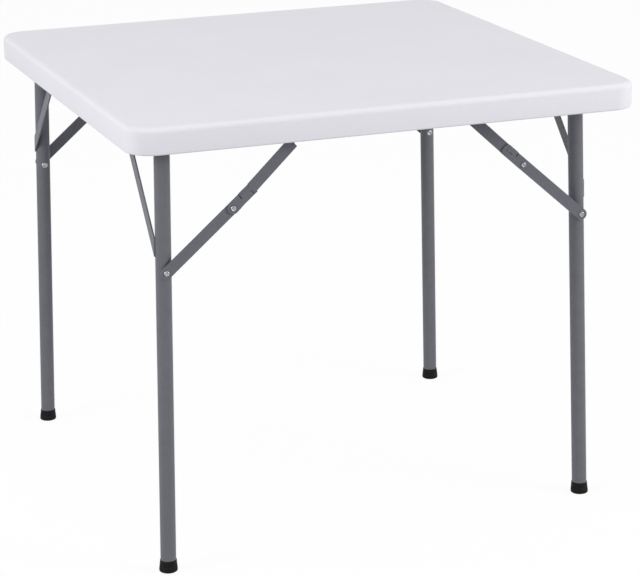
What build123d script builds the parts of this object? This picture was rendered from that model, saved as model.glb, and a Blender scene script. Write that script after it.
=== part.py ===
from build123d import *
import math
import os

# All lengths are in millimetres and all angles in degrees
# Origin on the floor under the middle of the top, +Z up, the front edge at -Y

# Moulded top
top_side = 864.0
table_height = 743.0
top_depth = 43.0
panel_depth = 16.0
rim_width = 25.0
top_corner_radius = 46.0
top_edge_radius = 9.0
bottom_edge_radius = 3.0
recess_corner_radius = 30.0
recess_mouth_radius = 2.0
skin = 3.0
cavity_edge_radius = 5.0

# Tack-off dimples that tie the lower skin to the upper one
dimple_rows = 8
dimple_margin = 85.0
dimple_mouth_radius = 12.0
dimple_floor_radius = 6.0

# Screw bosses moulded between the skins
boss_radius = 7.0
pilot_tip_cover = 4.0

# Leg frames
axis_inset = 64.0
left_axis_drop = 36.0
right_axis_drop = 33.0
left_leg_inset = 57.0
right_leg_inset = 114.0
lean_out = 1.25
splay = 1.15
tube_radius = 12.7
tube_wall = 1.2

# Foot caps
cap_length = 20.0
cap_top_radius = 13.7
cap_foot_radius = 15.1
cap_flare_height = 17.0
cap_sole = 6.0
cap_edge_radius = 2.5
cap_lip_radius = 0.6

# Crossbar end plugs
plug_flange = 1.4
plug_step_in = 0.3
plug_depth = 10.0
plug_edge_radius = 0.9

# Corner braces
brace_width = 20.0
brace_thickness = 2.5
brace_inset = 157.0
brace_drop = 166.0
brace_overlap = 0.5

# Folding braces
pivot_drop = 205.0
anchor_reach = 228.0
anchor_rise = 5.5
fold_slack = 0.65
left_over_centre = 3.4
right_over_centre = 1.0
link_width = 19.0
link_thickness = 2.5
link_stand_off = 19.2
link_gap = 0.3
tail_length = 48.5
tail_end_radius = 20.0
lip_start = 21.0
lip_length = 20.0
lip_thickness = 2.5
lip_proud = 1.1
lip_bend_radius = 1.8
lip_gap = 0.1
lip_end_gap = 0.5
slit_width = 1.7
slit_depth = 8.0
far_slit_start = 39.4
far_slit_width = 1.2
far_slit_depth = 7.0
long_detent_start = 31.8
long_detent_length = 8.0
long_detent_width = 2.0
dot_detent_start = 40.5
dot_detent_radius = 1.4
detent_depth = 1.0
notch_radius = 5.5

# Pivots
pin_radius = 3.5
pin_clearance = 0.05
head_radius = 4.9
head_height = 2.2
flat_head_radius = 4.5
flat_head_height = 1.5
tail_head_radius = 5.5
tail_head_height = 1.6
head_play = 0.1
pivot_break = 0.3
spacer_radius = 8.0
spacer_play = 0.2
collar_radius = 4.6

# Anchor brackets
bracket_thickness = 2.5
bracket_gap = 0.3
ear_radius = 8.0
flange_length = 44.0
flange_reach = 26.0
bracket_bend_radius = 1.5
bracket_screw_x = 14.0
bracket_screw_y = 15.0
washer_radius = 6.0
washer_play = 0.1

# Saddle straps and bearing blocks
saddle_inset_left = 87.0
saddle_inset_right = 78.0
saddle_width = 20.0
saddle_thickness = 2.0
saddle_flange = 15.0
saddle_play = 0.08
block_width = 24.0
block_length = 60.0
block_edge_radius = 2.0
saddle_screw_x = 22.0
screw_radius = 2.25
screw_head_radius = 4.5
screw_head_height = 1.7
screw_recess_radius = 1.3
screw_recess_depth = 0.9
screw_tip_clearance = 0.5

# Cutters run past a face by this much
overrun = 2.0

# Sizes worked out from the ones above
rim_bottom = table_height - top_depth
panel_under = table_height - panel_depth
recess_side = top_side - 2 * rim_width
dimple_pitch = (recess_side - 2 * dimple_margin) / (dimple_rows - 1)
axis_x = top_side / 2 - axis_inset
anchor_x = axis_x - anchor_reach
folded_reach = math.hypot(anchor_reach - pivot_drop, anchor_rise)
link_difference = folded_reach - fold_slack
link_radius = link_width / 2
lip_outer = link_radius + lip_proud
lip_inner = lip_outer - lip_thickness
lip_middle = -lip_start - lip_length / 2
slit_floor = link_radius - slit_depth
inner_plane = 0.0
outer_plane = link_thickness + link_gap
ear_plane = outer_plane + link_thickness + bracket_gap
fits = pin_radius + pin_clearance


def direction(angle_x, angle_y):
    """Unit vector down a leg that leans out by angle_x and splays by angle_y."""
    lean = math.radians(angle_x)
    spread = math.radians(angle_y)
    across = math.cos(spread)
    return Vector(math.sin(lean) * across, math.sin(spread), -math.cos(lean) * across)


def along(start, end):
    """A plane on start whose normal points to end."""
    return Plane(origin=start, z_dir=end - start)


def rod(start, end, radius):
    """A round bar from start to end."""
    sketch = along(start, end) * Circle(radius)
    return extrude(sketch, (end - start).length)


def dome(base, normal, radius, height):
    """A domed rivet head on base, bulging along normal."""
    ball_radius = (radius**2 + height**2) / (2 * height)
    ball = Pos(0, 0, height - ball_radius) * Sphere(ball_radius)
    under = Box(4 * ball_radius, 4 * ball_radius, 4 * ball_radius, align=(Align.CENTER, Align.CENTER, Align.MAX))
    return Plane(origin=base, z_dir=normal) * (ball - under)


def place(piece, side, end):
    """Carry a piece made for the right rear corner to another corner."""
    if side < 0:
        piece = mirror(piece, about=Plane.YZ)
    if end < 0:
        piece = mirror(piece, about=Plane.XZ)
    return piece


def joined(pieces):
    """Several equal fasteners as one node."""
    return Compound(children=[solid for piece in pieces for solid in piece.solids()])


class Frame:
    """Where one leg frame stands, all for its right rear corner."""

    def __init__(self, leg_y, axis_drop, saddle_inset, over_centre):
        self.leg_y = leg_y
        self.axis_z = table_height - axis_drop
        self.saddle_y = leg_y - saddle_inset
        self.down = direction(lean_out, splay)
        self.plumb = direction(lean_out, 0)
        self.outward = Vector(-self.plumb.Z, 0, self.plumb.X)
        self.top = Vector(axis_x, leg_y, self.axis_z)
        self.pivot = self.top + self.down * (pivot_drop / math.cos(math.radians(splay)))
        self.anchor = Vector(anchor_x, 0, self.axis_z + anchor_rise)
        self.link_y = leg_y + link_stand_off
        self.knee_angle(over_centre)

    def knee_angle(self, over_centre):
        """Lengths and directions of the two links with the brace locked open."""
        run = self.pivot.X - self.anchor.X
        fall = self.anchor.Z - self.pivot.Z
        span = math.hypot(run, fall)
        bend = math.radians(over_centre)
        spread = 2 * (1 + math.cos(bend))
        product = (span**2 - link_difference**2) / spread
        self.lower = (math.sqrt(link_difference**2 + 4 * product) - link_difference) / 2
        self.upper = self.lower + link_difference
        chord = math.atan2(fall, run)
        self.upper_angle = chord + math.asin(self.lower * math.sin(bend) / span)
        self.lower_angle = chord - math.asin(self.upper * math.sin(bend) / span)
        self.knee = self.anchor + Vector(
            self.upper * math.cos(self.upper_angle), 0, -self.upper * math.sin(self.upper_angle)
        )

    def folded_pivot(self):
        """The leg pivot in the upper link's own plane once the frame is folded."""
        closing = (self.lower**2 + self.upper**2 - folded_reach**2) / (2 * self.lower * self.upper)
        return (self.upper - self.lower * closing, -self.lower * math.sqrt(1 - closing**2))


left = Frame(top_side / 2 - left_leg_inset, left_axis_drop, saddle_inset_left, left_over_centre)
right = Frame(top_side / 2 - right_leg_inset, right_axis_drop, saddle_inset_right, right_over_centre)
frames = {"left": left, "right": right}
sides = {"left": -1, "right": 1}
ends = {"front": -1, "rear": 1}


def saddle_screws(frame):
    """Plan positions of one saddle strap's screws."""
    return [(axis_x + step, frame.saddle_y) for step in (-saddle_screw_x, saddle_screw_x)]


def bracket_screws(frame, flange_sign):
    """Plan positions of one bracket's screws."""
    screw_y = frame.link_y + ear_plane + flange_sign * bracket_screw_y
    return [(anchor_x + step, screw_y) for step in (-bracket_screw_x, bracket_screw_x)]


def flange_way(side_name):
    """The wide frame's brackets turn inboard, the narrow frame's outboard."""
    return -1 if side_name == "left" else 1


# Moulded top, a hollow shell with a recess under it
def top_block(inset, low, high, edge_radius):
    """The top's outer form, shrunk by inset on every side."""
    side = top_side - 2 * inset
    outline = RectangleRounded(side, side, top_corner_radius - inset)
    block = extrude(Plane.XY.offset(low) * outline, high - low)
    return fillet(block.faces().sort_by(Axis.Z)[-1].edges(), edge_radius)


def recess_block(growth, low, high):
    """The recess under the top, grown by growth on every side."""
    side = recess_side + 2 * growth
    outline = RectangleRounded(side, side, recess_corner_radius + growth)
    return extrude(Plane.XY.offset(low) * outline, high - low)


def tackoff(growth):
    """One tapered dimple from the underside up to the upper skin."""
    height = panel_depth - 2 * skin
    cone = Cone(dimple_mouth_radius + growth, dimple_floor_radius + growth, height + growth)
    return Pos(0, 0, panel_under + (height + growth) / 2) * cone


def boss_points():
    """Plan positions of every screw boss."""
    points = []
    for side_name, side in sides.items():
        frame = frames[side_name]
        near = saddle_screws(frame) + bracket_screws(frame, flange_way(side_name))
        for end in ends.values():
            points += [(side * x, end * y) for x, y in near]
    return points


def pilot(length):
    """A pilot hole up into the top."""
    return Pos(0, 0, panel_under - overrun) * Cylinder(
        screw_radius + pin_clearance, length + overrun, align=(Align.CENTER, Align.CENTER, Align.MIN)
    )


def make_top():
    """The moulded top."""
    body = top_block(0, rim_bottom, table_height, top_edge_radius)
    body = fillet(body.faces().sort_by(Axis.Z)[0].edges(), bottom_edge_radius)
    body -= recess_block(0, rim_bottom - overrun, panel_under)
    mouth = body.faces().sort_by(Axis.Z)[0].inner_wires()[0].edges()
    body = fillet(mouth, recess_mouth_radius)
    cavity = top_block(skin, rim_bottom + skin, table_height - skin, cavity_edge_radius)
    cavity -= recess_block(skin, rim_bottom, panel_under + skin)
    grid = GridLocations(dimple_pitch, dimple_pitch, dimple_rows, dimple_rows)
    cavity -= [place_at * tackoff(skin) for place_at in grid]
    boss = extrude(Plane.XY.offset(panel_under) * Circle(boss_radius), panel_depth - skin)
    cavity -= [Pos(x, y, 0) * boss for x, y in boss_points()]
    body -= cavity
    body -= [place_at * tackoff(0) for place_at in grid]
    hole = pilot(panel_depth - pilot_tip_cover)
    return body - [Pos(x, y, 0) * hole for x, y in boss_points()]


# Leg frame pieces, made for the right rear corner
def make_leg(frame):
    """A leg tube, coped to the crossbar and drilled for its brace pivot."""
    foot = frame.top + frame.down * (frame.top.Z / -frame.down.Z)
    end = foot - frame.down * cap_sole
    tube = rod(frame.top, end, tube_radius) - rod(frame.top, end, tube_radius - tube_wall)
    crossbar = rod(Vector(axis_x, 0, frame.axis_z), frame.top + Vector(0, 2 * tube_radius, 0), tube_radius)
    tube -= crossbar
    reach = Vector(0, 2 * tube_radius, 0)
    return tube - rod(frame.pivot - reach, frame.pivot + reach, fits)


def brace_low(frame):
    """Where a corner brace meets the leg's centre line."""
    return frame.top + frame.down * (brace_drop / math.cos(math.radians(splay)))


def brace_high(frame):
    """Where a corner brace meets the crossbar's centre line."""
    return frame.top - Vector(0, brace_inset, 0)


def make_crossbar(frame):
    """The crossbar tube."""
    end = Vector(axis_x, frame.leg_y + tube_radius, frame.axis_z)
    start = Vector(axis_x, -end.Y, frame.axis_z)
    return rod(start, end, tube_radius) - rod(start, end, tube_radius - tube_wall)


def make_plug(frame):
    """A plug in the crossbar's open end."""
    base = Vector(axis_x, frame.leg_y + tube_radius, frame.axis_z)
    stem = rod(base - Vector(0, plug_depth, 0), base, tube_radius - tube_wall)
    flange = rod(base, base + Vector(0, plug_flange, 0), tube_radius - plug_step_in)
    flange = fillet(flange.edges().group_by(Axis.Y)[-1], plug_edge_radius)
    return stem + flange


def make_cap(frame):
    """A foot cap, its sole moulded level with the floor."""
    foot = frame.top + frame.down * (frame.top.Z / -frame.down.Z)
    profile = Plane.XZ * make_face(
        Polyline(
            (0, -overrun),
            (cap_foot_radius, -overrun),
            (cap_foot_radius, 2 * cap_edge_radius),
            (cap_top_radius, cap_flare_height),
            (cap_top_radius, cap_length),
            (0, cap_length),
            close=True,
        )
    )
    cap = revolve(profile, Axis.Z)
    cap = fillet(cap.edges().group_by(Axis.Z)[-1], cap_lip_radius)
    cap -= Pos(0, 0, cap_sole) * Cylinder(
        tube_radius, cap_length, align=(Align.CENTER, Align.CENTER, Align.MIN)
    )
    cap = Plane(origin=foot, z_dir=-frame.down) * cap
    under = 4 * cap_foot_radius
    floor = Pos(foot.X, foot.Y, 0) * Box(under, under, under, align=(Align.CENTER, Align.CENTER, Align.MAX))
    cap -= floor
    return fillet(cap.faces().sort_by(Axis.Z)[0].edges(), cap_edge_radius)


def make_corner_brace(frame):
    """A flat bar on the outer faces of the leg and the crossbar, its ends cut along both."""
    lift = frame.outward * tube_radius
    plane = Plane(origin=frame.top + lift, x_dir=frame.down, z_dir=frame.outward)
    low = plane.to_local_coords(brace_low(frame) + lift)
    high = plane.to_local_coords(brace_high(frame) + lift)
    slant = math.degrees(math.atan2(high.Y - low.Y, high.X - low.X))
    middle = (low + high) / 2
    length = (high - low).length + 2 * brace_width
    bar = Pos(middle.X, middle.Y) * Rot(0, 0, slant) * Rectangle(length, brace_width)
    corner = Rectangle(2 * brace_drop, 2 * brace_inset, align=(Align.MIN, Align.MAX))
    bar &= Pos(-brace_overlap, brace_overlap) * corner
    return extrude(plane * bar, brace_thickness)


def make_spacer(frame):
    """The spacer between a leg and its brace, shaped to the leg."""
    face = Vector(frame.pivot.X, frame.link_y - spacer_play, frame.pivot.Z)
    spacer = rod(frame.pivot, face, spacer_radius)
    spacer -= rod(frame.top, frame.top + frame.down * (2 * pivot_drop), tube_radius)
    return spacer - rod(frame.pivot, face, fits)


def make_pivot_pin(frame, lower_plane):
    """The leg half of a brace pivot rivet."""
    end = Vector(frame.pivot.X, frame.link_y + lower_plane - pivot_break, frame.pivot.Z)
    shoulder = Vector(frame.pivot.X, frame.link_y - spacer_play, frame.pivot.Z)
    far = frame.pivot - Vector(0, tube_radius, 0)
    pin = rod(far - Vector(0, tail_head_height / 2, 0), end, pin_radius)
    if lower_plane > 0:
        pin += rod(shoulder, end, collar_radius)
    tail = rod(frame.pivot, far - Vector(0, tail_head_height, 0), tail_head_radius)
    tail = fillet(tail.edges().sort_by(Axis.Y)[0], tail_head_height / 2)
    leg = rod(frame.top, frame.top + frame.down * (2 * pivot_drop), tube_radius)
    return pin + (tail - leg)


# Folding brace pieces, made for the right rear corner
def link_plane(origin, angle, height):
    """A link's own plane: x along the link, y to its upper edge, z outboard."""
    x_dir = Vector(math.cos(angle), 0, -math.sin(angle))
    return Plane(origin=Vector(origin.X, height, origin.Z), x_dir=x_dir, z_dir=Vector(0, 1, 0))


def upper_side(plane):
    """1 where the plane's y runs to the link's upper edge, otherwise -1."""
    return 1 if plane.y_dir.Z > 0 else -1


def make_upper_link(frame, upper_plane):
    """The upper link, notched for the folded leg pivot and cut back to seat the stop lip."""
    plane = link_plane(frame.anchor, frame.upper_angle, frame.link_y + upper_plane)
    up = upper_side(plane)
    link = Pos(frame.upper / 2, 0) * SlotCenterToCenter(frame.upper, link_width)
    link -= Circle(fits)
    link -= Pos(frame.upper, 0) * Circle(fits)
    reach_x, reach_y = frame.folded_pivot()
    notch = Pos(reach_x, up * reach_y) * Circle(notch_radius)
    throat = Rectangle(2 * notch_radius, link_width)
    notch += Pos(reach_x, up * (reach_y - link_width / 2)) * throat
    far_slit = Rectangle(far_slit_width, far_slit_depth)
    notch += Pos(frame.upper - far_slit_start, up * (far_slit_depth / 2 - link_radius)) * far_slit
    solid = extrude(plane * (link - notch), link_thickness)
    open_plane = link_plane(frame.knee, frame.lower_angle, frame.link_y + upper_plane)
    floor = lip_inner - lip_gap
    seat = Rectangle(lip_length + lip_end_gap + slit_width, link_width - floor)
    cut = Pos(lip_middle + (slit_width - lip_end_gap) / 2, up * (link_width + floor) / 2) * seat
    if upper_plane > 0:
        cut += near_slit(up)
    return solid - extrude(open_plane * cut, link_thickness)


def near_slit(up):
    """The slit at the end of the stop lip, in the upper edge of the link in the outer plane."""
    slit = Rectangle(slit_width, link_width - slit_floor)
    return Pos(slit_width / 2 - lip_start, up * (link_width + slit_floor) / 2) * slit


def make_lower_link(frame, lower_plane, upper_plane):
    """The lower link with its tail and the lip that stops the knee."""
    plane = link_plane(frame.knee, frame.lower_angle, frame.link_y + lower_plane)
    up = upper_side(plane)
    straight = frame.lower + tail_length - tail_end_radius
    blank = Pos(frame.lower - straight / 2, 0) * Rectangle(straight, link_width)
    blank += Pos(frame.lower, 0) * Circle(link_radius)
    tail = Pos(-tail_length / 2, 0) * Rectangle(tail_length, link_width)
    blank += tail & Pos(tail_end_radius - tail_length, 0) * Circle(tail_end_radius)
    blank += Pos(lip_middle, up * lip_outer / 2) * Rectangle(lip_length, lip_outer)
    if lower_plane > 0:
        blank -= near_slit(up)
    blank -= Circle(fits)
    blank -= Pos(frame.lower, 0) * Circle(fits)
    link = extrude(blank, link_thickness)
    wall = Pos(lip_middle, up * (lip_outer + lip_inner) / 2, min(upper_plane - lower_plane, 0))
    link += extrude(wall * Rectangle(lip_length, lip_thickness), outer_plane + link_thickness)
    edges = link.edges().filter_by(Axis.X).group_by(Axis.Y)[-1 if up > 0 else 0]
    link = fillet(edges.sort_by(Axis.Z)[0 if upper_plane > lower_plane else -1], lip_bend_radius)
    marks = Pos(-dot_detent_start, 0) * Circle(dot_detent_radius)
    marks += Pos(-long_detent_start, 0) * SlotOverall(long_detent_length, long_detent_width)
    return plane * (link - extrude(Pos(0, 0, link_thickness) * marks, -detent_depth))


def make_knee_rivet(frame):
    """The knee rivet, a head on either side of the two links."""
    inner = Vector(frame.knee.X, frame.link_y - head_play, frame.knee.Z)
    outer = Vector(frame.knee.X, frame.link_y + outer_plane + link_thickness + head_play, frame.knee.Z)
    out = Vector(0, 1, 0)
    shank = rod(inner, outer, pin_radius)
    return shank + dome(outer, out, head_radius, head_height) + dome(inner, -out, head_radius, flat_head_height)


def make_pivot_head(frame, lower_plane):
    """The outer half of the leg pivot rivet, held in the lower link."""
    inner = Vector(frame.pivot.X, frame.link_y + lower_plane, frame.pivot.Z)
    outer = inner + Vector(0, link_thickness, 0)
    return rod(inner, outer, pin_radius) + dome(outer, Vector(0, 1, 0), head_radius, head_height)


def make_anchor_rivet(frame, upper_plane):
    """The rivet on which an upper link turns in its bracket."""
    out = Vector(0, 1, 0)
    level = Vector(frame.anchor.X, frame.link_y, frame.anchor.Z)
    inner = level + out * (upper_plane - head_play)
    outer = level + out * (ear_plane + bracket_thickness)
    shank = rod(inner, outer, pin_radius)
    return shank + dome(outer, out, flat_head_radius, flat_head_height) + dome(
        inner, -out, flat_head_radius, flat_head_height
    )


def make_anchor_washer(frame):
    """A washer that fills the outer plane between an inner link and the ear."""
    level = Vector(frame.anchor.X, frame.link_y, frame.anchor.Z)
    start = level + Vector(0, link_thickness + washer_play, 0)
    end = level + Vector(0, ear_plane, 0)
    return rod(start, end, washer_radius) - rod(start, end, fits)


def make_bracket(frame, way):
    """An angle bracket, screwed under the top, with an ear for the anchor rivet."""
    ear_y = frame.link_y + ear_plane
    plane = Plane(origin=(anchor_x, ear_y, frame.anchor.Z), x_dir=(1, 0, 0), z_dir=(0, 1, 0))
    rise = panel_under - frame.anchor.Z
    up = upper_side(plane)
    ear = make_face(
        Polyline(
            (-ear_radius, 0),
            (ear_radius, 0),
            (flange_length / 2, up * (rise - bracket_thickness)),
            (flange_length / 2, up * rise),
            (-flange_length / 2, up * rise),
            (-flange_length / 2, up * (rise - bracket_thickness)),
            close=True,
        )
    )
    ear = extrude(plane * (ear + Circle(ear_radius)), bracket_thickness)
    near = ear_y if way > 0 else ear_y + bracket_thickness
    corner = Vector(anchor_x, near, panel_under)
    flange = Pos(*corner) * Box(
        flange_length,
        flange_reach,
        bracket_thickness,
        align=(Align.CENTER, Align.MIN if way > 0 else Align.MAX, Align.MAX),
    )
    bracket = ear + flange
    bend = bracket.edges().filter_by(Axis.X).filter_by_position(
        Axis.Z, panel_under - pin_clearance, panel_under + pin_clearance
    )
    bend = bend.sort_by(Axis.Y)[0 if way > 0 else -1]
    bracket = fillet(bend, bracket_bend_radius)
    for x, y in bracket_screws(frame, way):
        hole = Cylinder(screw_radius + pin_clearance, bracket_thickness, align=(Align.CENTER, Align.CENTER, Align.MAX))
        bracket -= Pos(x, y, panel_under) * hole
    return bracket - extrude(plane * Circle(fits), bracket_thickness)


def make_block(frame):
    """A bearing block over the crossbar."""
    height = panel_under - frame.axis_z
    block = Pos(axis_x, frame.saddle_y, frame.axis_z) * Box(
        block_length, block_width, height, align=(Align.CENTER, Align.CENTER, Align.MIN)
    )
    block = fillet(block.edges().filter_by(Axis.Z), block_edge_radius)
    reach = Vector(0, block_width, 0)
    centre = Vector(axis_x, frame.saddle_y, frame.axis_z)
    block -= rod(centre - reach, centre + reach, tube_radius + saddle_play)
    for x, y in saddle_screws(frame):
        block -= Pos(x, y, frame.axis_z) * Cylinder(
            screw_radius + pin_clearance, height, align=(Align.CENTER, Align.CENTER, Align.MIN)
        )
    return block


def make_saddle(frame):
    """A strap round the underside of the crossbar."""
    centre = Vector(axis_x, frame.saddle_y, frame.axis_z)
    bore = tube_radius + saddle_play
    half = Vector(0, saddle_width / 2, 0)
    ring = rod(centre - half, centre + half, bore + saddle_thickness)
    reach = bore + saddle_thickness + saddle_flange
    flange = Pos(*centre) * Box(
        2 * reach, saddle_width, saddle_thickness, align=(Align.CENTER, Align.CENTER, Align.MAX)
    )
    upper = Pos(*centre) * Box(
        2 * reach, 2 * saddle_width, reach, align=(Align.CENTER, Align.CENTER, Align.MIN)
    )
    strap = ring - upper + flange
    strap = fillet(strap.edges().filter_by(Axis.Z), block_edge_radius)
    strap -= rod(centre - half * 2, centre + half * 2, bore)
    for x, y in saddle_screws(frame):
        strap -= Pos(x, y, frame.axis_z) * Cylinder(
            screw_radius + pin_clearance, saddle_thickness, align=(Align.CENTER, Align.CENTER, Align.MAX)
        )
    return strap


def make_screw(x, y, seat, tip):
    """A pan head screw driven up from seat to tip, with a cross recess."""
    head = dome(Vector(x, y, seat), Vector(0, 0, -1), screw_head_radius, screw_head_height)
    shank = rod(Vector(x, y, seat), Vector(x, y, tip), screw_radius)
    low = seat - screw_head_height
    slot = Pos(x, y, low) * Cylinder(
        screw_recess_radius, screw_recess_depth, align=(Align.CENTER, Align.CENTER, Align.MIN)
    )
    return head + shank - slot


# Build every node
os.makedirs("parts", exist_ok=True)
nodes = {"tabletop_shell": make_top()}
saddle_fixings = []
bracket_fixings = []
anchor_rivets = []
anchor_washers = []
tip_z = panel_under + panel_depth - pilot_tip_cover - screw_tip_clearance

for side_name, side in sides.items():
    frame = frames[side_name]
    way = flange_way(side_name)
    crossbar = make_crossbar(frame)
    nodes[f"{side_name}_crossbar"] = place(crossbar, side, 1)
    plugs = []
    spacers = []
    pins = []
    for end_name, end in ends.items():
        corner = f"{side_name}_{end_name}"
        upper_out = side * end > 0
        upper_plane = outer_plane if upper_out else inner_plane
        lower_plane = inner_plane if upper_out else outer_plane

        def put(piece):
            return place(piece, side, end)

        nodes[f"{corner}_leg"] = put(make_leg(frame))
        nodes[f"{corner}_foot_cap"] = put(make_cap(frame))
        nodes[f"{corner}_corner_brace"] = put(make_corner_brace(frame))
        nodes[f"{corner}_upper_link"] = put(make_upper_link(frame, upper_plane))
        nodes[f"{corner}_lower_link"] = put(make_lower_link(frame, lower_plane, upper_plane))
        nodes[f"{corner}_knee_rivet"] = put(make_knee_rivet(frame))
        nodes[f"{corner}_pivot_head"] = put(make_pivot_head(frame, lower_plane))
        nodes[f"{corner}_bracket"] = put(make_bracket(frame, way))
        nodes[f"{corner}_bearing_block"] = put(make_block(frame))
        nodes[f"{corner}_saddle_strap"] = put(make_saddle(frame))
        plugs.append(put(make_plug(frame)))
        spacers.append(put(make_spacer(frame)))
        pins.append(put(make_pivot_pin(frame, lower_plane)))
        anchor_rivets.append(put(make_anchor_rivet(frame, upper_plane)))
        if upper_plane < outer_plane:
            anchor_washers.append(put(make_anchor_washer(frame)))
        for x, y in saddle_screws(frame):
            saddle_fixings.append(put(make_screw(x, y, frame.axis_z - saddle_thickness, tip_z)))
        for x, y in bracket_screws(frame, way):
            bracket_fixings.append(put(make_screw(x, y, panel_under - bracket_thickness, tip_z)))
    nodes[f"{side_name}_crossbar_plugs"] = joined(plugs)
    nodes[f"{side_name}_pivot_spacers"] = joined(spacers)
    nodes[f"{side_name}_pivot_pins"] = joined(pins)

nodes["saddle_screws"] = joined(saddle_fixings)
nodes["bracket_screws"] = joined(bracket_fixings)
nodes["anchor_rivets"] = joined(anchor_rivets)
nodes["anchor_washers"] = joined(anchor_washers)

for name, shape in nodes.items():
    export_step(shape, f"parts/{name}.step")
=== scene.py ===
import bmesh
import bpy
import math
from mathutils import Matrix, Vector


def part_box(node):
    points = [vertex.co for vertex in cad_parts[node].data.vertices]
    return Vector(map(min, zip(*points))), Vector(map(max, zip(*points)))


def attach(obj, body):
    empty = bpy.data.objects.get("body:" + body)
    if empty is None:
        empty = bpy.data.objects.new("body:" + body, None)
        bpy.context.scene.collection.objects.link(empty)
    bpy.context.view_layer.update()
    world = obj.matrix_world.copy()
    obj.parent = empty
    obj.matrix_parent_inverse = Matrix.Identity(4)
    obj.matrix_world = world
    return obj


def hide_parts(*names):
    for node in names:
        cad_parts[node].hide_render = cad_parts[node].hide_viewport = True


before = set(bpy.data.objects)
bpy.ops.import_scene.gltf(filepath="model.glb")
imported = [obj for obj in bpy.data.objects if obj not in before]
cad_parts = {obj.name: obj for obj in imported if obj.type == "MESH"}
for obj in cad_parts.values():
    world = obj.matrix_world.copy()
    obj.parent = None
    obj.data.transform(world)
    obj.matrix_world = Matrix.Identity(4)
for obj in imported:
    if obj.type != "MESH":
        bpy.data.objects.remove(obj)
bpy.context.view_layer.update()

# All lengths are in metres, in the part's own frame
# Moulded top
top_side = 0.864
table_height = 0.743
top_depth = 0.043
panel_depth = 0.016
rim_width = 0.025
top_corner = 0.046
top_edge = 0.009
bottom_edge = 0.003
recess_corner = 0.030
recess_mouth = 0.002
recess_root = 0.0035
flat_margin = 0.0008
dimple_rows = 8
dimple_pitch = 0.092
dimple_mouth = 0.012
dimple_floor = 0.006
dimple_depth = 0.010
dimple_edge = 0.0016

# Leg frames
axis_x = 0.368
lean_out = math.radians(1.25)
splay = math.radians(1.15)
tube_radius = 0.0127
weld_radius = 0.0021
weld_ripple = 0.00035
weld_waves = 22
weld_steps = 96

# Corner braces
brace_drop = 0.166
brace_inset = 0.157
brace_width = 0.020
brace_weld_radius = 0.0012
brace_weld_step = 0.0016

# Foot caps
cap_length = 0.020
cap_flare = 0.017
cap_sole = 0.006
cap_top_radius = 0.0137
cap_foot_radius = 0.0151
cap_edge = 0.0025
cap_lip = 0.0007
cap_groove = 0.0003
cap_well_depth = 0.0012
cap_well_radius = 0.0095
cap_well_slope = 0.0005
cap_plug_depth = 0.004
cap_plug_fit = 0.0001

# Rivets and screws
round_steps = 48
head_radius = 0.0049
head_height = 0.0022
flat_head_height = 0.0015
head_skirt = 0.0002
tail_radius = 0.0055
tail_height = 0.0016
tail_skirt = 0.0014
pin_radius = 0.0035
collar_radius = 0.0046
pivot_drop = 0.205
link_stand_off = 0.0192
outer_plane = 0.0028
pin_short = 0.0003

# A rivet head's profile as shares of its radius and height, from the well outwards
rivet_shares = [
    (0, 0.30),
    (0.26, 0.31),
    (0.36, 0.42),
    (0.44, 0.70),
    (0.52, 0.92),
    (0.62, 1),
    (0.73, 0.95),
    (0.84, 0.78),
    (0.93, 0.50),
    (0.985, 0.18),
]

# Softened edges
link_ease = 0.0004
brace_ease = 0.0005
plate_ease = 0.0003
block_ease = 0.0006

# How near points count as one, and as level
same_place = 1e-6
cell_merge = 1e-5
node_merge = 2e-6

sides = {"left": -1, "right": 1}
ends = {"front": -1, "rear": 1}
axis_height = {"left": 0.707, "right": 0.710}
leg_y = {"left": 0.375, "right": 0.318}


def add_node(tree, kind, **settings):
    """A node in a material, with its settings."""
    node = tree.nodes.new(kind)
    for key, value in settings.items():
        setattr(node, key, value)
    return node


def feed(node, **values):
    """Sets a node's inputs; an underscore stands for a space."""
    for key, value in values.items():
        node.inputs[key.replace("_", " ")].default_value = value


def grain(tree, place, scale, detail=2.0, roughness=0.5):
    """Noise of a given number of blotches to the metre."""
    noise = add_node(tree, "ShaderNodeTexNoise")
    feed(noise, Scale=scale, Detail=detail, Roughness=roughness)
    tree.links.new(place.outputs["Object"], noise.inputs["Vector"])
    return noise.outputs["Fac"]


def pebbles(tree, place, scale):
    """Rounded cells of a given number to the metre, low in their middles."""
    cells = add_node(tree, "ShaderNodeTexVoronoi", feature="F1")
    feed(cells, Scale=scale)
    tree.links.new(place.outputs["Object"], cells.inputs["Vector"])
    return cells.outputs["Distance"]


def spread(tree, value, low, high, start=0.3, stop=0.7):
    """Maps a pattern from start and stop to low and high."""
    ranged = add_node(tree, "ShaderNodeMapRange")
    for socket, number in zip(("From Min", "From Max", "To Min", "To Max"), (start, stop, low, high)):
        ranged.inputs[socket].default_value = number
    tree.links.new(value, ranged.inputs["Value"])
    return ranged.outputs["Result"]


def blend_colour(tree, value, first, second):
    """A colour between two, by a pattern."""
    mix = add_node(tree, "ShaderNodeMix", data_type="RGBA")
    tree.links.new(value, mix.inputs["Factor"])
    for socket, colour in zip(("A", "B"), (first, second)):
        plug = [s for s in mix.inputs if s.name == socket and s.type == "RGBA"][0]
        if isinstance(colour, tuple):
            plug.default_value = (*colour, 1)
        else:
            tree.links.new(colour, plug)
    return [s for s in mix.outputs if s.type == "RGBA"][0]


def raise_surface(tree, height, distance, strength=1.0, under=None):
    """A bump from a height pattern, over another bump if there is one."""
    bump = add_node(tree, "ShaderNodeBump")
    feed(bump, Strength=strength, Distance=distance)
    tree.links.new(height, bump.inputs["Height"])
    if under is not None:
        tree.links.new(under, bump.inputs["Normal"])
    return bump.outputs["Normal"]


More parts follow.
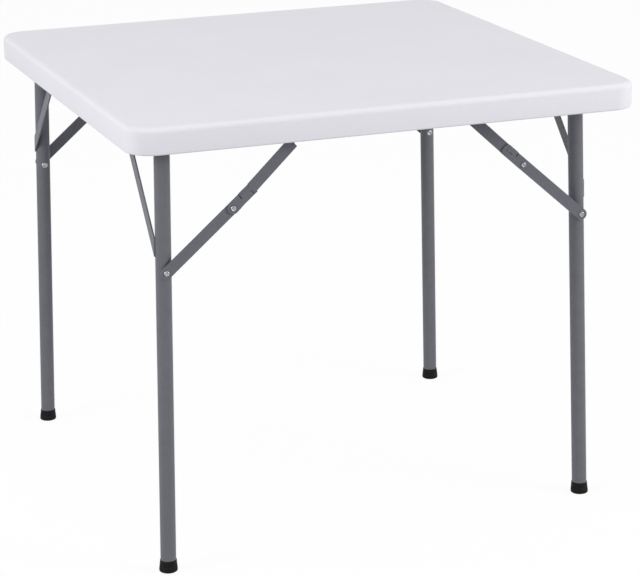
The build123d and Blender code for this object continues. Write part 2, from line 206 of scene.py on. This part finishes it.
def start_finish(name, metallic=0.0, specular=0.5):
    """A new material with its tree, its shader and the object's own coordinates."""
    material = bpy.data.materials.new(name)
    material.use_nodes = True
    tree = material.node_tree
    shader = tree.nodes["Principled BSDF"]
    feed(shader, Metallic=metallic)
    shader.inputs["Specular IOR Level"].default_value = specular
    return material, tree, shader, add_node(tree, "ShaderNodeTexCoord")


def pebbled_plastic():
    """Pale moulded polyethylene with a fine pebbled grain and faint clouds."""
    material, tree, shader, place = start_finish("pebbled_plastic", specular=0.12)
    clouds = spread(tree, grain(tree, place, 7, detail=3), 0, 1)
    base = blend_colour(tree, clouds, (0.785, 0.780, 0.820), (0.800, 0.795, 0.835))
    specks = spread(tree, grain(tree, place, 420, detail=3), 0, 1, start=0.60, stop=0.72)
    flecked = blend_colour(tree, specks, base, (0.765, 0.760, 0.802))
    tree.links.new(flecked, shader.inputs["Base Color"])
    tree.links.new(spread(tree, grain(tree, place, 90), 0.60, 0.72), shader.inputs["Roughness"])
    coarse = raise_surface(tree, pebbles(tree, place, 640), 0.00016, strength=0.30)
    fine = raise_surface(tree, grain(tree, place, 1900, detail=3), 0.00008, strength=0.4, under=coarse)
    tree.links.new(fine, shader.inputs["Normal"])
    return material


def powder_coat(name, colour, light, roughness):
    """Grey powder coat with orange peel and a slightly uneven gloss."""
    material, tree, shader, place = start_finish(name, specular=0.2)
    tone = spread(tree, grain(tree, place, 55, detail=4), 0, 1)
    base = blend_colour(tree, tone, colour, light)
    specks = spread(tree, grain(tree, place, 2600, detail=2), 0, 1, start=0.58, stop=0.72)
    flecked = blend_colour(tree, specks, base, tuple(1.35 * c for c in light))
    tree.links.new(flecked, shader.inputs["Base Color"])
    gloss = spread(tree, grain(tree, place, 140, detail=3), roughness - 0.05, roughness + 0.07)
    tree.links.new(gloss, shader.inputs["Roughness"])
    peel = raise_surface(tree, grain(tree, place, 850, detail=1), 0.00012, strength=0.5)
    tooth = raise_surface(tree, grain(tree, place, 3600, detail=2), 0.00003, strength=0.4, under=peel)
    tree.links.new(tooth, shader.inputs["Normal"])
    return material


def zinc_plate():
    """Bright zinc on steel, with faint clouding and rubbed marks."""
    material, tree, shader, place = start_finish("zinc_plate", metallic=1.0)
    tone = spread(tree, grain(tree, place, 330, detail=4), 0, 1)
    base = blend_colour(tree, tone, (0.30, 0.31, 0.33), (0.44, 0.45, 0.47))
    tree.links.new(base, shader.inputs["Base Color"])
    rubbed = spread(tree, grain(tree, place, 900, detail=5, roughness=0.65), 0.18, 0.38)
    tree.links.new(rubbed, shader.inputs["Roughness"])
    marks = raise_surface(tree, grain(tree, place, 2400, detail=3), 0.00002, strength=0.5)
    tree.links.new(marks, shader.inputs["Normal"])
    return material


def moulded_black(name, colour, roughness, scale):
    """Black moulded rubber or plastic with a fine spark-eroded grain."""
    material, tree, shader, place = start_finish(name, specular=0.12)
    tone = spread(tree, grain(tree, place, scale / 12, detail=3), 0, 1)
    lighter = tuple(1.7 * c for c in colour)
    tree.links.new(blend_colour(tree, tone, colour, lighter), shader.inputs["Base Color"])
    gloss = spread(tree, grain(tree, place, scale / 4), roughness - 0.07, roughness + 0.08)
    tree.links.new(gloss, shader.inputs["Roughness"])
    skin = raise_surface(tree, grain(tree, place, scale, detail=3), 0.00008, strength=0.6)
    tree.links.new(skin, shader.inputs["Normal"])
    return material


top_plastic = pebbled_plastic()
tube_paint = powder_coat("tube_powder_coat", (0.138, 0.143, 0.160), (0.152, 0.157, 0.174), 0.44)
bar_paint = powder_coat("bar_powder_coat", (0.132, 0.137, 0.156), (0.146, 0.151, 0.170), 0.42)
zinc = zinc_plate()
rubber = moulded_black("foot_rubber", (0.0065, 0.006, 0.0062), 0.62, 2200)
black_plastic = moulded_black("black_plastic", (0.020, 0.020, 0.021), 0.42, 1600)

finishes = {
    "top_plastic": top_plastic,
    "frame_paint": tube_paint,
    "brace_paint": bar_paint,
    "zinc_steel": zinc,
    "foot_rubber": rubber,
    "black_plastic": black_plastic,
}


def settle(bm, name, body, slot, nodes=(), sharp=32):
    """Makes a piece of a bmesh, rides it on its body and gives it its finish."""
    mesh = bpy.data.meshes.new(name)
    bm.to_mesh(mesh)
    bm.free()
    mesh.shade_smooth()
    mesh.set_sharp_from_angle(angle=math.radians(sharp))
    mesh.materials.append(finishes[slot])
    piece = bpy.data.objects.new(name, mesh)
    bpy.context.scene.collection.objects.link(piece)
    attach(piece, body)
    if nodes:
        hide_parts(*nodes)
    return piece


def outward(bm):
    """Turns every face outwards."""
    bmesh.ops.recalc_face_normals(bm, faces=bm.faces)


def rounded_square(bm, side, radius, height, steps=12):
    """A level square face with rounded corners."""
    place = Matrix.Translation((0, 0, height)) @ Matrix.Rotation(math.radians(45), 4, "Z")
    made = bmesh.ops.create_circle(bm, cap_ends=True, segments=4, radius=side / math.sqrt(2), matrix=place)
    face = made["verts"][0].link_faces[0]
    corners = list(face.verts)
    bmesh.ops.bevel(
        bm, geom=corners, offset=radius, affect="VERTICES", segments=steps, profile=0.5, material=-1
    )
    return [f for f in bm.faces if abs(f.calc_center_median().z - height) < same_place][0]


def level_edges(bm, height):
    """The edges that lie level at a height."""
    return [e for e in bm.edges if all(abs(v.co.z - height) < same_place for v in e.verts)]


def ease(bm, edges, width, steps):
    """Rounds edges off."""
    bmesh.ops.bevel(
        bm, geom=edges, offset=width, affect="EDGES", segments=steps, profile=0.5, material=-1
    )


def lift_face(bm, face, height):
    """Extrudes a face straight up by a height and returns the moved face."""
    made = bmesh.ops.extrude_face_region(bm, geom=[face])["geom"]
    moved = [g for g in made if isinstance(g, bmesh.types.BMVert)]
    bmesh.ops.translate(bm, verts=moved, vec=(0, 0, height))
    return [g for g in made if isinstance(g, bmesh.types.BMFace)][0]


def take_in(bm, part):
    """Adds another bmesh's shape to this one."""
    mesh = bpy.data.meshes.new("part")
    part.to_mesh(mesh)
    part.free()
    bm.from_mesh(mesh)
    bpy.data.meshes.remove(mesh)


def quarter(radius, steps, hollow):
    """Inward and upward steps round a quarter circle, hollow or full."""
    turns = [math.radians(90 * n / steps) for n in range(steps + 1)]
    points = [(radius * math.sin(turn), radius * (1 - math.cos(turn))) for turn in turns]
    if hollow:
        points = [(radius - inward, radius - rise) for inward, rise in reversed(points)]
    return [(b[0] - a[0], b[1] - a[1]) for a, b in zip(points, points[1:])]


def step_in(bm, face, steps):
    """Insets a face by inward and upward steps, one after another."""
    for inward, rise in steps:
        bmesh.ops.inset_region(
            bm, faces=[face], thickness=inward, depth=rise, use_even_offset=True, use_boundary=True
        )


def make_recess():
    """The walls of the recess, rounded at the mouth and at the root, and its ceiling."""
    bm = bmesh.new()
    grown = recess_mouth + flat_margin
    side = top_side - 2 * rim_width
    face = rounded_square(bm, side + 2 * grown, recess_corner + grown, table_height - top_depth)
    step_in(bm, face, [(flat_margin, 0)] + quarter(recess_mouth, 4, False))
    ceiling = lift_face(bm, face, top_depth - panel_depth - recess_mouth - recess_root)
    bmesh.ops.delete(bm, geom=[face], context="FACES_ONLY")
    step_in(bm, ceiling, quarter(recess_root, 4, True) + [(flat_margin, 0)])
    return bm


def fill_between(bm, height):
    """Fills the level ring between two nested outlines."""
    rims = [e for e in level_edges(bm, height) if len(e.link_faces) < 2]
    bmesh.ops.triangle_fill(bm, edges=rims, use_beauty=True, normal=(0, 0, -1))


def dimple_cell(height):
    """One square of the underside with a tapered tack-off dimple in its middle."""
    bm = bmesh.new()
    level = Matrix.Translation((0, 0, height))
    bmesh.ops.create_grid(bm, x_segments=1, y_segments=1, size=dimple_pitch / 2, matrix=level)
    bmesh.ops.subdivide_edges(bm, edges=bm.edges[:], cuts=7)
    bmesh.ops.delete(bm, geom=bm.faces[:], context="FACES_ONLY")
    grown = dimple_mouth + flat_margin
    ring = bmesh.ops.create_circle(bm, cap_ends=True, segments=32, radius=grown, matrix=level)["verts"]
    face = ring[0].link_faces[0]
    step_in(bm, face, [(flat_margin, 0)] + quarter(dimple_edge, 4, False))
    step_in(bm, face, [(dimple_mouth - dimple_floor - 2 * dimple_edge, dimple_depth - 2 * dimple_edge)])
    step_in(bm, face, quarter(dimple_edge, 4, True))
    fill_between(bm, height)
    mesh = bpy.data.meshes.new("dimple_cell")
    bm.to_mesh(mesh)
    bm.free()
    return mesh


def add_dimples(bm, height):
    """Fills the recess with its rows of dimples."""
    cell = dimple_cell(height)
    first = -dimple_pitch * (dimple_rows - 1) / 2
    for row in range(dimple_rows):
        for column in range(dimple_rows):
            placed = cell.copy()
            spot = (first + column * dimple_pitch, first + row * dimple_pitch, 0)
            placed.transform(Matrix.Translation(spot))
            bm.from_mesh(placed)
            bpy.data.meshes.remove(placed)
    bpy.data.meshes.remove(cell)
    bmesh.ops.remove_doubles(bm, verts=bm.verts, dist=cell_merge)


def make_top():
    """The moulded top with its rounded edges, its recess and its dimples."""
    under = table_height - panel_depth
    rim_low = table_height - top_depth
    bm = bmesh.new()
    slab = rounded_square(bm, top_side, top_corner, rim_low)
    lift_face(bm, slab, top_depth)
    ease(bm, level_edges(bm, table_height), top_edge, 12)
    ease(bm, level_edges(bm, rim_low), bottom_edge, 5)
    flats = [f for f in bm.faces if abs(f.normal.z) > 0.999]
    for face in flats:
        step_in(bm, face, [(flat_margin, 0)])
        if face.calc_center_median().z < under:
            bmesh.ops.delete(bm, geom=[face], context="FACES_ONLY")
    take_in(bm, make_recess())
    ceiling = [f for f in bm.faces if len(f.verts) > 4 and abs(f.calc_center_median().z - under) < same_place]
    bmesh.ops.delete(bm, geom=ceiling, context="FACES_ONLY")
    fill_between(bm, rim_low)
    add_dimples(bm, under)
    fill_between(bm, under)
    outward(bm)
    return settle(bm, "moulded_top", "tabletop", "top_plastic", ["tabletop_shell"], sharp=60)


def leg_way(side, end):
    """Unit vector down a leg."""
    across = math.cos(splay)
    return Vector((side * math.sin(lean_out) * across, end * math.sin(splay), -math.cos(lean_out) * across))


def leg_top(side_name, end):
    """Where a leg's centre line meets its crossbar's."""
    return Vector((sides[side_name] * axis_x, end * leg_y[side_name], axis_height[side_name]))


def along(start, end):
    """A placing matrix at start whose z runs to end."""
    return Matrix.Translation(start) @ (end - start).to_track_quat("Z", "Y").to_matrix().to_4x4()


def bar(bm, start, end, radius):
    """A closed round bar and its vertices at the start."""
    length = (end - start).length
    middle = along(start, end) @ Matrix.Translation((0, 0, length / 2))
    made = bmesh.ops.create_cone(
        bm, cap_ends=True, segments=round_steps, radius1=radius, radius2=radius, depth=length, matrix=middle
    )
    return [v for v in made["verts"] if (v.co - start).length < radius * 1.01]


def slide_to_crossbar(point, side_name, way):
    """The slide along a leg that brings a point onto its crossbar's surface."""
    centre = Vector((sides[side_name] * axis_x, 0, axis_height[side_name]))
    flat_way = Vector((way.x, 0, way.z))
    gap = Vector((point.x - centre.x, 0, point.z - centre.z))
    half = gap.dot(flat_way)
    root = half**2 - flat_way.length_squared * (gap.length_squared - tube_radius**2)
    return way * ((math.sqrt(max(root, 0)) - half) / flat_way.length_squared)


def make_leg(side_name, end_name):
    """A leg tube, coped to the crossbar."""
    side, end = sides[side_name], ends[end_name]
    way = leg_way(side, end)
    top = leg_top(side_name, end)
    foot = top + way * (top.z / -way.z)
    bm = bmesh.new()
    rim = bar(bm, top, foot - way * cap_sole, tube_radius)
    for vert in rim:
        vert.co += slide_to_crossbar(vert.co, side_name, way)
    outward(bm)
    name = f"{side_name}_{end_name}_leg"
    settle(bm, f"{name}_tube", f"{side_name}_frame", "frame_paint", [name], sharp=50)


def make_weld(side_name, end_name):
    """The weld bead round the top of a leg."""
    side, end = sides[side_name], ends[end_name]
    way = leg_way(side, end)
    top = leg_top(side_name, end)
    bm = bmesh.new()
    place = Matrix.Translation((tube_radius, 0, 0)) @ Matrix.Rotation(math.radians(90), 4, "X")
    section = bmesh.ops.create_circle(bm, segments=10, radius=weld_radius, matrix=place)["verts"]
    edges = list({e for v in section for e in v.link_edges})
    bmesh.ops.spin(
        bm,
        geom=section + edges,
        cent=(0, 0, 0),
        axis=(0, 0, 1),
        angle=2 * math.pi,
        steps=weld_steps,
        use_merge=True,
    )
    placing = along(top, top + way)
    for vert in bm.verts:
        turn = math.atan2(vert.co.y, vert.co.x)
        swell = 1 + weld_ripple / weld_radius * math.sin(weld_waves * turn)
        ring = Vector((tube_radius * math.cos(turn), tube_radius * math.sin(turn), 0))
        vert.co = ring + (vert.co - ring) * swell
    bmesh.ops.transform(bm, verts=bm.verts, matrix=placing)
    back = placing.inverted()
    slides = {}
    for vert in bm.verts:
        local = back @ vert.co
        turn = math.atan2(local.y, local.x)
        key = round(turn, 3)
        if key not in slides:
            ring = Vector((tube_radius * math.cos(turn), tube_radius * math.sin(turn), 0))
            slides[key] = slide_to_crossbar(placing @ ring, side_name, way)
        vert.co += slides[key]
    outward(bm)
    settle(bm, f"{side_name}_{end_name}_weld_bead", f"{side_name}_frame", "frame_paint", sharp=60)


def bead(bm, start, end):
    """A run of overlapping weld drops from start to end."""
    count = round((end - start).length / brace_weld_step)
    for drop in range(count + 1):
        place = Matrix.Translation(start.lerp(end, drop / count))
        bmesh.ops.create_uvsphere(bm, u_segments=14, v_segments=8, radius=brace_weld_radius, matrix=place)


def make_brace_welds(side_name, end_name):
    """The weld beads at both ends of a corner brace."""
    side, end = sides[side_name], ends[end_name]
    way = leg_way(side, end)
    out = Vector((side * math.cos(lean_out), 0, math.sin(lean_out))) * tube_radius
    low = leg_top(side_name, end) + way * brace_drop + out
    high = leg_top(side_name, end) - Vector((0, end * brace_inset, 0)) + out
    slope = (high - low).normalized()
    half_low = way * (brace_width / 2 / math.sqrt(1 - slope.dot(way) ** 2))
    half_high = Vector((0, brace_width / 2 / math.sqrt(1 - slope.y**2), 0))
    bm = bmesh.new()
    bead(bm, low - half_low, low + half_low)
    bead(bm, high - half_high, high + half_high)
    settle(bm, f"{side_name}_{end_name}_brace_welds", f"{side_name}_frame", "frame_paint", sharp=60)


def make_crossbar(side_name):
    """A crossbar tube."""
    x, z = sides[side_name] * axis_x, axis_height[side_name]
    reach = leg_y[side_name] + tube_radius
    bm = bmesh.new()
    bar(bm, Vector((x, -reach, z)), Vector((x, reach, z)), tube_radius)
    outward(bm)
    name = f"{side_name}_crossbar"
    settle(bm, f"{name}_tube", f"{side_name}_frame", "frame_paint", [name], sharp=50)


def turned(bm, profile, steps=round_steps):
    """Spins a profile of radius and height round z and closes its poles."""
    points = [bm.verts.new((radius, 0, height)) for radius, height in profile]
    edges = [bm.edges.new(pair) for pair in zip(points, points[1:])]
    bmesh.ops.spin(
        bm,
        geom=points + edges,
        cent=(0, 0, 0),
        axis=(0, 0, 1),
        angle=2 * math.pi,
        steps=steps,
        use_merge=True,
    )
    bmesh.ops.remove_doubles(bm, verts=bm.verts, dist=same_place)
    outward(bm)


def make_cap(side_name, end_name):
    """A foot cap that flares to a rounded sole, level on the floor."""
    side, end = sides[side_name], ends[end_name]
    way = leg_way(side, end)
    top = leg_top(side_name, end)
    foot = top + way * (top.z / -way.z)
    flat = cap_foot_radius - cap_edge
    middle = (cap_foot_radius + cap_top_radius) / 2
    half = cap_flare / 2 + cap_edge
    profile = [
        (0, cap_well_depth),
        (cap_well_radius, cap_well_depth),
        (cap_well_radius + cap_well_slope, 0),
        (flat, 0),
    ]
    for step in range(1, 6):
        turn = math.radians(18 * step)
        profile.append((flat + cap_edge * math.sin(turn), cap_edge - cap_edge * math.cos(turn)))
    profile += [
        (cap_foot_radius, 2 * cap_edge),
        (middle, half - cap_groove),
        (middle - cap_groove, half),
        (middle - cap_groove, half + cap_groove),
        (middle - 0.1 * cap_groove, half + 2 * cap_groove),
        (cap_top_radius, cap_flare),
        (cap_top_radius, cap_length - cap_lip),
        (cap_top_radius - 0.3 * cap_lip, cap_length - 0.3 * cap_lip),
        (cap_top_radius - cap_lip, cap_length),
        (tube_radius, cap_length),
        (tube_radius - cap_plug_fit, cap_length - cap_plug_depth),
        (0, cap_length - cap_plug_depth),
    ]
    bm = bmesh.new()
    turned(bm, profile, 64)
    shear = Matrix.Identity(4)
    shear[0][2] = way.x / way.z
    shear[1][2] = way.y / way.z
    bmesh.ops.transform(bm, verts=bm.verts, matrix=Matrix.Translation((foot.x, foot.y, 0)) @ shear)
    name = f"{side_name}_{end_name}_foot_cap"
    settle(bm, f"{side_name}_{end_name}_rubber_foot", f"{side_name}_frame", "foot_rubber", [name], sharp=40)


def rivet_profile(radius, height, skirt):
    """A rolled rivet head: a deep well, a round rolled rim and a skirt."""
    crown = [(across * radius, up * height) for across, up in rivet_shares]
    brim = crown[-1][0]
    return crown + [(brim, -skirt), (0, -skirt)]


def rivet_head(bm, seat, way, radius, height, skirt=head_skirt):
    """A rivet head on a seat, bulging along way."""
    part = bmesh.new()
    turned(part, rivet_profile(radius, height, skirt), 40)
    bmesh.ops.transform(part, verts=part.verts, matrix=along(seat, seat + way))
    take_in(bm, part)


def make_pivot_pins(side_name):
    """The leg halves of a frame's pivot rivets, with rolled tails inboard of the legs."""
    bm = bmesh.new()
    for end in ends.values():
        way = leg_way(sides[side_name], end)
        pivot = leg_top(side_name, end) + way * (pivot_drop / math.cos(splay))
        lower_out = sides[side_name] * end < 0
        link_y = leg_y[side_name] + link_stand_off
        tip = Vector((pivot.x, end * (link_y + lower_out * outer_plane - pin_short), pivot.z))
        seat = Vector((pivot.x, pivot.y - end * tube_radius, pivot.z))
        bar(bm, seat, tip, pin_radius)
        if lower_out:
            bar(bm, Vector((pivot.x, end * link_y, pivot.z)), tip, collar_radius)
        rivet_head(bm, seat, Vector((0, -end, 0)), tail_radius, tail_height, tail_skirt)
    outward(bm)
    node = f"{side_name}_pivot_pins"
    settle(bm, f"{node}_rolled", f"{side_name}_frame", "zinc_steel", [node], sharp=50)


def make_knee_rivet(side_name, end_name):
    """The knee rivet, a head on either face of the two links."""
    node = f"{side_name}_{end_name}_knee_rivet"
    low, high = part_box(node)
    end = ends[end_name]
    middle = (low + high) / 2
    outer = high.y - head_height if end > 0 else low.y + head_height
    inner = low.y + flat_head_height if end > 0 else high.y - flat_head_height
    bm = bmesh.new()
    rivet_head(bm, Vector((middle.x, outer, middle.z)), Vector((0, end, 0)), head_radius, head_height)
    rivet_head(bm, Vector((middle.x, inner, middle.z)), Vector((0, -end, 0)), head_radius, flat_head_height)
    bar(bm, Vector((middle.x, inner, middle.z)), Vector((middle.x, outer, middle.z)), pin_radius)
    settle(bm, f"{node}_heads", f"{side_name}_{end_name}_upper", "zinc_steel", [node], sharp=50)


def make_pivot_head(side_name, end_name):
    """The outer head of a leg pivot rivet."""
    node = f"{side_name}_{end_name}_pivot_head"
    low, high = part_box(node)
    end = ends[end_name]
    middle = (low + high) / 2
    seat = high.y - head_height if end > 0 else low.y + head_height
    root = low.y if end > 0 else high.y
    bm = bmesh.new()
    rivet_head(bm, Vector((middle.x, seat, middle.z)), Vector((0, end, 0)), head_radius, head_height)
    bar(bm, Vector((middle.x, root, middle.z)), Vector((middle.x, seat, middle.z)), pin_radius)
    settle(bm, f"{node}_crown", f"{side_name}_{end_name}_lower", "zinc_steel", [node], sharp=50)


def eased_copy(node, body, slot, width):
    """A CAD node's flat steel or moulding with its edges softened."""
    bm = bmesh.new()
    bm.from_mesh(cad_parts[node].data)
    bmesh.ops.remove_doubles(bm, verts=bm.verts, dist=node_merge)
    bmesh.ops.dissolve_limit(bm, angle_limit=math.radians(0.5), verts=bm.verts, edges=bm.edges)
    piece = settle(bm, f"{node}_eased", body, slot, [node], sharp=30)
    bevel = piece.modifiers.new("eased_edges", "BEVEL")
    bevel.width = width
    bevel.segments = 2
    bevel.limit_method = "ANGLE"
    bevel.angle_limit = math.radians(40)
    bevel.harden_normals = True
    return piece


make_top()
for side_name in sides:
    make_crossbar(side_name)
    make_pivot_pins(side_name)
    for end_name in ends:
        corner = f"{side_name}_{end_name}"
        make_leg(side_name, end_name)
        make_weld(side_name, end_name)
        make_brace_welds(side_name, end_name)
        make_cap(side_name, end_name)
        make_knee_rivet(side_name, end_name)
        make_pivot_head(side_name, end_name)
        eased_copy(f"{corner}_upper_link", f"{corner}_upper", "brace_paint", link_ease)
        eased_copy(f"{corner}_lower_link", f"{corner}_lower", "brace_paint", link_ease)
        eased_copy(f"{corner}_corner_brace", f"{side_name}_frame", "brace_paint", brace_ease)
        eased_copy(f"{corner}_bracket", "tabletop", "brace_paint", plate_ease)
        eased_copy(f"{corner}_saddle_strap", "tabletop", "brace_paint", plate_ease)
        eased_copy(f"{corner}_bearing_block", "tabletop", "black_plastic", block_ease)

# Carried-over nodes take their slot's finish
node_slots = {
    "crossbar_plugs": "black_plastic",
    "pivot_spacers": "black_plastic",
    "screws": "zinc_steel",
    "anchor_rivets": "zinc_steel",
    "anchor_washers": "zinc_steel",
}
for name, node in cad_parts.items():
    for ending, slot in node_slots.items():
        if name.endswith(ending):
            node.data.materials.clear()
            node.data.materials.append(finishes[slot])


def floor_finish():
    """A pale floor that the camera and reflections see as near white."""
    material = bpy.data.materials.new("pale_floor")
    material.use_nodes = True
    tree = material.node_tree
    tree.nodes.clear()
    output = add_node(tree, "ShaderNodeOutputMaterial")
    seen = seen_directly(tree)
    matt = add_node(tree, "ShaderNodeBsdfDiffuse")
    tree.links.new(blend_colour(tree, seen, (0.55, 0.55, 0.56), (1.0, 1.0, 1.0)), matt.inputs["Color"])
    white = add_node(tree, "ShaderNodeEmission")
    feed(white, Color=(1, 1, 1, 1), Strength=1.0)
    mix = add_node(tree, "ShaderNodeMixShader")
    share = add_node(tree, "ShaderNodeMath", operation="MULTIPLY")
    tree.links.new(seen, share.inputs[0])
    share.inputs[1].default_value = 0.93
    tree.links.new(share.outputs[0], mix.inputs[0])
    tree.links.new(matt.outputs[0], mix.inputs[1])
    tree.links.new(white.outputs[0], mix.inputs[2])
    tree.links.new(mix.outputs[0], output.inputs[0])
    return material


def seen_directly(tree):
    """1 for camera, mirror and glass rays, otherwise 0."""
    path = add_node(tree, "ShaderNodeLightPath")
    first = add_node(tree, "ShaderNodeMath", operation="MAXIMUM")
    second = add_node(tree, "ShaderNodeMath", operation="MAXIMUM")
    tree.links.new(path.outputs["Is Camera Ray"], first.inputs[0])
    tree.links.new(path.outputs["Is Glossy Ray"], first.inputs[1])
    tree.links.new(first.outputs[0], second.inputs[0])
    tree.links.new(path.outputs["Is Transmission Ray"], second.inputs[1])
    return second.outputs[0]


def make_floor():
    """The floor."""
    bm = bmesh.new()
    bmesh.ops.create_grid(bm, x_segments=1, y_segments=1, size=15)
    mesh = bpy.data.meshes.new("floor")
    bm.to_mesh(mesh)
    bm.free()
    mesh.materials.append(floor_finish())
    floor = bpy.data.objects.new("floor", mesh)
    bpy.context.scene.collection.objects.link(floor)


def make_world():
    """An even pale surround, white where it is seen."""
    world = bpy.data.worlds.new("studio")
    bpy.context.scene.world = world
    world.use_nodes = True
    tree = world.node_tree
    tree.nodes.clear()
    output = add_node(tree, "ShaderNodeOutputWorld")
    light = add_node(tree, "ShaderNodeBackground")
    feed(light, Color=(0.985, 0.985, 1.0, 1), Strength=0.62)
    white = add_node(tree, "ShaderNodeBackground")
    feed(white, Color=(1, 1, 1, 1), Strength=1.0)
    mix = add_node(tree, "ShaderNodeMixShader")
    tree.links.new(seen_directly(tree), mix.inputs[0])
    tree.links.new(light.outputs[0], mix.inputs[1])
    tree.links.new(white.outputs[0], mix.inputs[2])
    tree.links.new(mix.outputs[0], output.inputs[0])


def soft_lamp(name, place, aim, size, power, colour=(1, 1, 1)):
    """A large square lamp that the camera doesn't see."""
    lamp = bpy.data.lights.new(name, "AREA")
    lamp.size = size
    lamp.energy = power
    lamp.color = colour
    holder = bpy.data.objects.new(name, lamp)
    holder.location = place
    holder.rotation_euler = (Vector(aim) - Vector(place)).to_track_quat("-Z", "Y").to_euler()
    holder.visible_camera = False
    bpy.context.scene.collection.objects.link(holder)


def make_camera():
    """The photograph's viewpoint."""
    lens = bpy.data.cameras.new("camera")
    lens.sensor_width = 36
    lens.lens = 135.835
    lens.clip_end = 60
    camera = bpy.data.objects.new("camera", lens)
    turn = Matrix.Rotation(math.radians(-20.3563), 4, "Z")
    tilt = Matrix.Rotation(math.radians(90 - 16.8769), 4, "X")
    roll = Matrix.Rotation(math.radians(-0.7519), 4, "Z")
    camera.matrix_world = Matrix.Translation((-1.40403, -3.86218, 1.57017)) @ turn @ tilt @ roll
    bpy.context.scene.collection.objects.link(camera)
    bpy.context.scene.camera = camera


make_floor()
make_world()
soft_lamp("key", (-4.4, -0.9, 2.5), (0, 0, 0.6), 1.8, 95)
soft_lamp("fill", (3.6, -3.3, 2.3), (0, 0, 0.6), 1.8, 117)
soft_lamp("overhead", (0, 1.0, 5.5), (0, 0, 0.7), 3.0, 12)
make_camera()
bpy.context.scene.view_settings.view_transform = "Standard"
